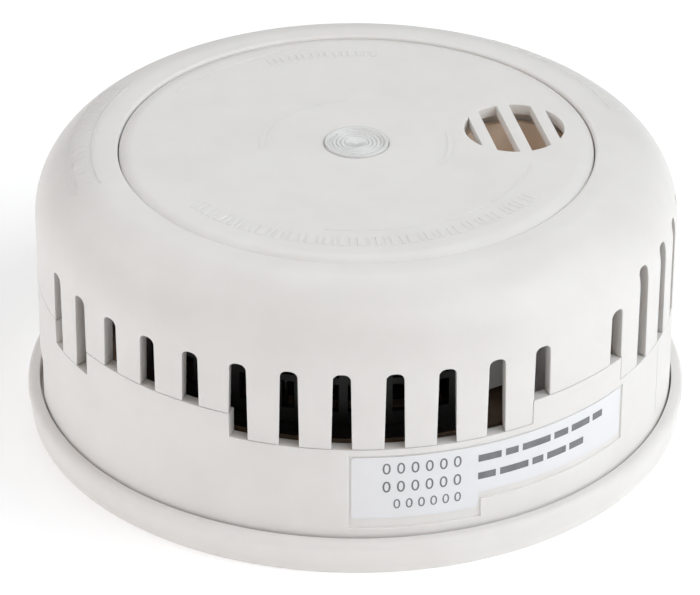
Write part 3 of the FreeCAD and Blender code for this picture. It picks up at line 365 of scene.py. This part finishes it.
piece("rear_housing_moulding", gathered(housing_pieces), case_plastic, "head", "case_plastic", "rear_housing")

# ---- battery -------------------------------------------------------------------------------------
# A lithium cell in a shrunk sleeve, bedded on foam tape in the housing's cradle. Nickelled steel
# tabs, welded to its ends, carry it to the board.


def dressed(node, surface):
    """A modelled piece of the frame in its finish."""
    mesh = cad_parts[node].data
    mesh.materials.clear()
    mesh.materials.append(surface)


dressed("battery_pad", finish("grey_foam", (0.10, 0.10, 0.11), (0.16, 0.16, 0.17), 0.8, (0.85, 0.95), 0.3, 0.08))
dressed("battery_cell", finish("printed_sleeve", (0.020, 0.060, 0.250), (0.030, 0.080, 0.300), 6.0, (0.25, 0.38),
                               0.8, 0.01))
bright_nickel = finish("bright_nickel", (0.62, 0.60, 0.56), (0.74, 0.72, 0.68), 1.2, (0.22, 0.36), 0.15, 0.003,
                       metal=1.0)
dressed("battery_tabs", bright_nickel)

# ---- circuit board -------------------------------------------------------------------------------
# A round board of brown paper laminate, notched for the posts and open over the cell, held down
# by three plated screws. Its parts are soldered to the front.
dressed("circuit_board", finish("paper_laminate", (0.18, 0.125, 0.085), (0.24, 0.17, 0.12), 3.0, (0.38, 0.55),
                                0.5, 0.01))
zinc_plate = finish("zinc_plate", (0.56, 0.56, 0.54), (0.68, 0.68, 0.66), 0.7, (0.28, 0.42), 0.12, 0.004,
                    metal=1.0)
dressed("board_screws", zinc_plate)
black_epoxy = finish("black_epoxy", (0.012, 0.012, 0.013), (0.024, 0.024, 0.025), 1.4, (0.45, 0.62), 0.1, 0.006)
for node in ("microcontroller", "transistors", "chip_resistors", "service_header"):
    dressed(node, black_epoxy)
dressed("electrolytic_capacitors", finish("capacitor_sleeve", (0.010, 0.012, 0.035), (0.018, 0.02, 0.055), 3.0,
                                          (0.28, 0.4), 0.6, 0.004))
dressed("sounder_coil", finish("enamelled_copper", (0.42, 0.15, 0.05), (0.60, 0.24, 0.09), 0.5, (0.25, 0.4), 0.2,
                               0.02, metal=1.0))
soft_black = finish("satin_black", (0.010, 0.010, 0.010), (0.018, 0.018, 0.018), 4.0, (0.42, 0.55), 0.2, 0.005)
red_plastic = finish("red_actuator", (0.34, 0.02, 0.015), (0.42, 0.03, 0.02), 3.0, (0.35, 0.45), 0.3, 0.003)
dressed("test_switch_body", soft_black)
dressed("test_switch_plunger", red_plastic)
dressed("power_switch_body", soft_black)
dressed("power_switch_slider", finish("white_slider", (0.62, 0.62, 0.60), (0.70, 0.70, 0.68), 3.0, (0.35, 0.45),
                                      0.3, 0.003))

# ---- sounder -------------------------------------------------------------------------------------
# A moulded cup that clamps a brass disc with a ceramic face on a rubber ring. The lid is a short
# beige horn that flares up to the grille in the button. Three insulated wires lead to the board.
horn_beige = finish("horn_beige", (0.80, 0.62, 0.47), (0.86, 0.70, 0.56), 5.0, (0.30, 0.40), 0.3, 0.006)
dressed("sounder_base", horn_beige)
dressed("sounder_horn", horn_beige)
dressed("piezo_gasket", finish("soft_rubber", (0.02, 0.02, 0.02), (0.035, 0.035, 0.035), 1.0, (0.7, 0.85), 0.2,
                               0.01))
dressed("piezo_plate", finish("brass", (0.55, 0.40, 0.15), (0.68, 0.50, 0.20), 2.0, (0.25, 0.4), 0.1, 0.003,
                              metal=1.0))
dressed("piezo_ceramic", finish("silvered_ceramic", (0.62, 0.60, 0.55), (0.72, 0.70, 0.65), 1.5, (0.45, 0.6),
                                0.2, 0.004))
dressed("sounder_wires", finish("wire_insulation", (0.30, 0.03, 0.02), (0.40, 0.04, 0.03), 2.0, (0.4, 0.5), 0.4,
                                0.004))

# ---- heat sensor ---------------------------------------------------------------------------------
# A bead thermistor on two tinned leads stands in a roofed cage of matt black plastic, right behind
# the front vents, so that the air that enters them reaches it first.
dressed("thermistor_guard", soft_black)
dressed("thermistor", finish("thermistor_glaze", (0.02, 0.012, 0.006), (0.05, 0.03, 0.015), 0.6, (0.15, 0.3), 0.3,
                             0.01))
dressed("thermistor_leads", bright_nickel)

# ---- indicator lamp ------------------------------------------------------------------------------
# A red light-emitting diode in the middle of the board, lifted on a spacer to the lens's pipe.
red_lamp = finish("red_lamp_resin", (0.55, 0.02, 0.015), (0.65, 0.03, 0.02), 3.0, (0.05, 0.12), 0.6, 0.001)
dressed("status_led", red_lamp)
dressed("led_legs", bright_nickel)
dressed("led_spacer", soft_black)

# ---- front cover ---------------------------------------------------------------------------------
# The alarm's front: a domed ring in off-white ABS with thirty-six open-bottomed vents, a collar
# round the button and a baffle behind the vents. Three screws from the back pull it on.
cover_top = 49.8
dome_start = 37.8
dome_centre = 43.15
shell = turned(((body_radius, seam_low + 0.1, 0.1), (body_radius, cover_top, 12.0), (40.75, cover_top, 0.5),
                (40.75, 44.0, 0.15), (42.35, 44.0, 0.15), (42.35, 47.5, 0.3), (wall_inside, 47.5, 9.7),
                (wall_inside, seam_low + 0.1, 0.1)), start=-154.6)
shell = cut(shell, [swept(51.8, 56.2, 21.0, seam_high + 0.1, start - 0.104, end + 0.104)
                    for start, end in raised_spans])
vents = []
for number in range(1, 41):
    if number in (13, 27, 39, 40):
        continue
    crown = 37.1 + (4.1 if 15 <= number <= 26 else 0)
    vent = bmesh.new()
    corners = [vent.verts.new(at) for at in ((-1.68, 51.4, 20.9), (1.68, 51.4, 20.9), (1.4, 51.4, crown),
                                             (-1.4, 51.4, crown))]
    vent.faces.new(corners)
    bmesh.ops.bevel(vent, geom=corners[2:], offset=1.15, offset_type="OFFSET", segments=8, profile=0.5,
                    affect="VERTICES", material=-1)
    pushed = bmesh.ops.extrude_face_region(vent, geom=vent.faces[:])
    bmesh.ops.translate(vent, vec=(0, 5.0, 0),
                        verts=[g for g in pushed["geom"] if isinstance(g, bmesh.types.BMVert)])
    for vertex in vent.verts:
        vertex.co.x *= 0.81 if vertex.co.y > 55 else 1.58
    turn = Matrix.Rotation(math.radians(-155.35 + 9 * (number - 1) - 90), 3, "Z")
    bmesh.ops.rotate(vent, verts=vent.verts, matrix=turn)
    bmesh.ops.recalc_face_normals(vent, faces=vent.faces)
    vents.append(vent)
cover_pieces = [eased(cut(shell, vents), 0.14)]
cover_pieces.append(swept(42.35, 43.85, 24.0, 48.3, -65.0, 217.5))
for place in screw_posts:
    hanging = post(3.6, 24.0, 48.4, place)
    for vertex in hanging.verts:
        if vertex.co.z > 30:
            reach = max(vertex.co.to_2d().length - dome_centre, 0)
            vertex.co.z = dome_start + math.sqrt(10.8 ** 2 - reach ** 2)
    cover_pieces.append(cut(hanging, [post(1.4, 23.0, 36.0, place, sides=24)]))
piece("front_cover_moulding", gathered(cover_pieces), case_plastic, "head", "case_plastic", "front_cover")
dressed("housing_screws", zinc_plate)

# Raised marks moulded on the dome: short plain bars, in two bands, each with a thin line inside it.


def raised_bars(spans, inner, outer, height_at, rise):
    """Plain raised bars between two radii, one to a span of angles, that follow a domed surface."""
    bars = []
    for start, end in spans:
        foot = [(inner + (outer - inner) * n / 4, height_at(inner + (outer - inner) * n / 4)) for n in range(5)]
        outline = [(r, z - 0.2) for r, z in foot] + [(r, z + rise) for r, z in reversed(foot)]
        bars.append(eased(turned(outline, steps=max(2, round((end - start) / 1.5)), start=start,
                                 sweep=end - start), 0.05, 1))
    return gathered(bars)


def dome_height(radius):
    """The height of the cover's outside at a radius."""
    reach = max(radius - dome_centre, 0)
    return dome_start + math.sqrt(144 - reach ** 2)


def bar_row(start, end, widths, gap):
    """Spans of angles for bars of repeating widths with a gap between, from start to end."""
    spans = []
    count = 0
    while start + widths[count % len(widths)] < end:
        spans.append((start, start + widths[count % len(widths)]))
        start += widths[count % len(widths)] + gap
        count += 1
    return spans


cover_marks = [raised_bars(bar_row(152, 196, (1.6, 2.6, 1.2, 3.4, 1.6), 1.1), 46.0, 48.6, dome_height, 0.08),
               raised_bars([(150, 198)], 45.0, 45.25, dome_height, 0.12),
               raised_bars([(150, 198)], 49.4, 49.65, dome_height, 0.12),
               raised_bars(bar_row(18, 62, (2.2, 1.2, 3.0, 1.6), 1.1), 46.0, 48.6, dome_height, 0.08)]
mark_plastic = finish("case_abs_marks", (0.775, 0.755, 0.735), (0.80, 0.783, 0.765), 9.0, (0.40, 0.47), 0.22,
                      0.004)
piece("front_cover_marks", gathered(cover_marks), mark_plastic, "head", "case_plastic")

# ---- button springs ------------------------------------------------------------------------------
# Three light compression springs in music wire, one on each pin, that lift the test button.
spring_seat = 36.0
spring_length = 12.0
wire_radius = 0.3
coil_steps = 24
coil_turns = 6
coils = []
for angle in (50.0, 165.0, 285.0):
    coil = bmesh.new()
    rings = []
    for step in range(coil_turns * coil_steps + 1):
        turn = math.tau * step / coil_steps
        climb = spring_seat + 0.35 + (spring_length - 0.7) * step / (coil_turns * coil_steps)
        ring = []
        for side in range(8):
            reach = 2.5 + wire_radius * math.cos(math.tau * side / 8)
            ring.append(coil.verts.new((reach * math.cos(turn), reach * math.sin(turn),
                                        climb + wire_radius * math.sin(math.tau * side / 8))))
        rings.append(ring)
    for lower, upper in zip(rings, rings[1:]):
        for side in range(8):
            beside = (side + 1) % 8
            coil.faces.new((lower[side], lower[beside], upper[beside], upper[side]))
    coil.faces.new(rings[0])
    coil.faces.new(rings[-1])
    bmesh.ops.recalc_face_normals(coil, faces=coil.faces)
    bmesh.ops.translate(coil, vec=(*polar(33.2, angle), 0), verts=coil.verts)
    coils.append(coil)
springs = piece("button_spring_coils", gathered(coils), zinc_plate, "head", "steel", "button_springs")
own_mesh(springs)

# ---- test button ---------------------------------------------------------------------------------
# The whole middle of the face is one button, moulded in the same ABS: a flat plate with a rounded
# edge, a skirt with four clips, a barred grille over the sounder and a seat for the lens.
button_top = 50.0
button = turned(((2.8, 44.0), (4.1, 44.0, 0.15), (4.1, 48.0), (13.0, 48.0), (13.0, 46.4, 0.15), (14.0, 46.4, 0.15),
                 (14.0, 48.0), (17.5, 48.0), (17.5, 46.4, 0.15), (18.5, 46.4, 0.15), (18.5, 48.0), (39.05, 48.0, 0.3),
                 (39.05, 44.4, 0.1), (40.55, 44.4, 0.1), (40.55, 49.1, 0.12), (40.25, 49.36), (39.9, 49.57),
                 (39.5, 49.74), (39.05, 49.87), (38.5, 49.97), (38.05, button_top), (5.6, button_top, 0.15),
                 (5.6, 48.8), (2.8, 48.8)))
grille_turn = 11.9
grille_place = polar(27.7, grille_turn)
opening = post(8.6, 47.0, 51.0, grille_place, sides=96)
bars = [slab(2.15, 30.0, 46.0, 52.0, (27.7 + way * 5.75, 0), turn=grille_turn) for way in (-1, 0, 1)]
opening = cut(opening, bars)
tips = [e for e in opening.edges if abs(e.verts[0].co.z - e.verts[1].co.z) > 1 and e.calc_face_angle(0.0) > 0.4]
bmesh.ops.bevel(opening, geom=tips, offset=0.3, offset_type="OFFSET", segments=6, profile=0.5,
                affect="EDGES", clamp_overlap=True, material=-1)
button = cut(button, [post(11.2, 46.0, 48.0, grille_place, sides=96)])
button_pieces = [eased(cut(button, [opening]), 0.15)]
shroud = turned(((10.4, 44.8, 0.12), (11.4, 44.8, 0.12), (11.4, 48.6), (10.4, 48.6)), steps=96)
bmesh.ops.translate(shroud, vec=(*grille_place, 0), verts=shroud.verts)
button_pieces.append(shroud)
for angle in (56.9, 146.9, 236.9, 326.9):
    button_pieces.append(eased(swept(39.05, 40.55, 41.85, 45.4, angle - 4, angle + 4), 0.1))
    button_pieces.append(eased(swept(39.05, 42.1, 42.55, 43.95, angle - 4, angle + 4), 0.1))
for angle in (50.0, 165.0, 285.0):
    button_pieces.append(eased(post(1.8, 45.0, 49.0, polar(33.2, angle)), 0.2))
stem = turned(((0, 31.1), (2.0, 31.1, 0.3), (2.0, 45.0, 0.5), (3.2, 45.0, 0.3), (3.2, 49.0), (0, 49.0)), steps=40)
bmesh.ops.translate(stem, vec=(-16.0, -8.0, 0), verts=stem.verts)
button_pieces.append(stem)
piece("test_button_moulding", gathered(button_pieces), case_plastic, "button", "case_plastic", "test_button")


button_marks = [raised_bars(bar_row(-141, -30, (1.5, 0.8, 1.9, 1.2, 2.4, 0.9), 0.9), 32.8, 35.6, lambda radius: button_top, 0.07),
                raised_bars([(-100, -14)], 30.4, 30.65, lambda radius: button_top, 0.07),
                raised_bars([(100, 150)], 36.2, 36.45, lambda radius: button_top, 0.07),
                raised_bars(bar_row(84, 118, (1.8, 1.0, 1.4), 0.9), 32.5, 34.5, lambda radius: button_top, 0.07),
                raised_bars([(95, 190), (-28, 14)], 15.6, 16.6, lambda radius: button_top, 0.03)]
piece("test_button_marks", gathered(button_marks), mark_plastic, "button", "case_plastic")

# ---- lens ----------------------------------------------------------------------------------------
# A clear acrylic lens pressed into the button: a raised rim, a dish with fine turned rings that
# spread the lamp's light, and a pipe that reaches down to the lamp.
lens_profile = [(0, 38.2), (2.7, 38.2, 0.2), (2.7, 48.8), (5.5, 48.8), (5.5, 50.4, 0.25), (4.9, 50.4, 0.2),
                (4.6, 50.08)]
for groove in (4.15, 3.45, 2.75, 2.05):
    lens_profile += [(groove + 0.14, 50.12), (groove, 49.92), (groove - 0.14, 50.12)]
lens_profile += [(0.9, 50.06), (0.4, 49.85), (0, 49.8)]
acrylic = bpy.data.materials.new("clear_acrylic")
acrylic.use_nodes = True
acrylic_shader = acrylic.node_tree.nodes["Principled BSDF"]
acrylic_shader.inputs["Base Color"].default_value = (0.95, 0.95, 0.94, 1)
acrylic_shader.inputs["Transmission Weight"].default_value = 0.25
acrylic_shader.inputs["IOR"].default_value = 1.49
acrylic_shader.inputs["Roughness"].default_value = 0.12
piece("light_lens_moulding", turned(lens_profile, steps=120), acrylic, "button", "clear_plastic", "light_lens")

# ---- date label ----------------------------------------------------------------------------------
# A stepped white paper label under clear film in the housing's recess, printed in grey. Its lines
# read the right way up when the alarm hangs from the ceiling.
label_radius = 54.95


def wrapped(shape, radius):
    """The shape bent round the housing: its x becomes distance round it, and its y depth."""
    low = min(v.co.x for v in shape.verts)
    high = max(v.co.x for v in shape.verts)
    at = low + 1.0
    while at < high:
        bmesh.ops.bisect_plane(shape, geom=shape.verts[:] + shape.edges[:] + shape.faces[:], dist=1e-5,
                               plane_co=(at, 0, 0), plane_no=(1, 0, 0))
        at += 1.0
    for vertex in shape.verts:
        around = vertex.co.x / radius - math.pi / 2
        out = radius + vertex.co.y
        vertex.co = (out * math.cos(around), out * math.sin(around), vertex.co.z)
    bmesh.ops.recalc_face_normals(shape, faces=shape.faces)
    return shape


def along(angle):
    """Distance round the label from the front, at an angle."""
    return math.radians(angle + 90) * label_radius


left = along(-91.2) + 0.45
step = along(-67.9) - 0.45
right = along(-35.8) - 0.45
label = bmesh.new()
label_corners = [label.verts.new((x, 0, z)) for x, z in ((left, 9.5), (step, 9.5), (step, 12.3), (right, 12.3),
                                                         (right, 21.3), (left, 21.3))]
label.faces.new(label_corners)
bmesh.ops.bevel(label, geom=[label_corners[n] for n in (0, 1, 3, 4, 5)], offset=0.6, offset_type="OFFSET",
                segments=5, profile=0.5, affect="VERTICES", material=-1)
thick = bmesh.ops.extrude_face_region(label, geom=label.faces[:])
bmesh.ops.translate(label, vec=(0, -0.15, 0), verts=[g for g in thick["geom"] if isinstance(g, bmesh.types.BMVert)])
label_paper = finish("label_paper", (0.795, 0.80, 0.82), (0.81, 0.815, 0.835), 4.0, (0.30, 0.36), 0.4, 0.002)
piece("date_label_paper", wrapped(label, label_radius), label_paper, "head", "label_paper", "date_label")


def printed(text, height, start, line):
    """Digits as thin closed shapes that run towards the alarm's left, turned half round."""
    lettering = bpy.data.curves.new("lettering", "FONT")
    lettering.body = text
    lettering.size = height / 0.72
    lettering.extrude = 0.02
    lettering.resolution_u = 3
    writing = bpy.data.objects.new("writing", lettering)
    bpy.context.scene.collection.objects.link(writing)
    seen = writing.evaluated_get(bpy.context.evaluated_depsgraph_get())
    flat = bpy.data.meshes.new_from_object(seen)
    shape = bmesh.new()
    shape.from_mesh(flat)
    bpy.data.objects.remove(writing)
    bpy.data.meshes.remove(flat)
    bmesh.ops.remove_doubles(shape, verts=shape.verts, dist=1e-4)
    for vertex in shape.verts:
        vertex.co = (start - vertex.co.x, vertex.co.z, line - vertex.co.y)
    return shape


def word_bars(start, end, lengths, low, high):
    """A line of plain bars in place of words, between two distances round the label."""
    bars = []
    count = 0
    while start + lengths[count % len(lengths)] <= end:
        length = lengths[count % len(lengths)]
        bars.append(slab_at(start, start + length, low, high))
        start += length + 0.8
        count += 1
    return bars


def slab_at(start, end, low, high):
    """A thin closed block on the label's face."""
    shape = bmesh.new()
    bmesh.ops.create_cube(shape, size=1.0)
    bmesh.ops.scale(shape, vec=(end - start, 0.04, high - low), verts=shape.verts)
    bmesh.ops.translate(shape, vec=((start + end) / 2, 0, (low + high) / 2), verts=shape.verts)
    return shape


lines = [printed("0 0 0 0 0 0", 2.2, along(-71.5), 20.1), printed("0 0 0 0 0 0", 2.2, along(-71.5), 16.6),
         printed("0 0 0 0 0 0", 1.9, along(-71.5), 13.1)]
for low, lengths in ((18.2, (4.2, 2.4, 5.6, 3.0)), (14.8, (3.2, 5.4, 2.2, 4.0))):
    lines += word_bars(along(-68.5), along(-40.5), lengths, low, low + 1.3)
label_ink = finish("label_ink", (0.16, 0.16, 0.17), (0.20, 0.20, 0.21), 2.0, (0.4, 0.5), 0.3, 0.001)
piece("date_label_print", wrapped(gathered(lines), label_radius), label_ink, "head", "label_paper")
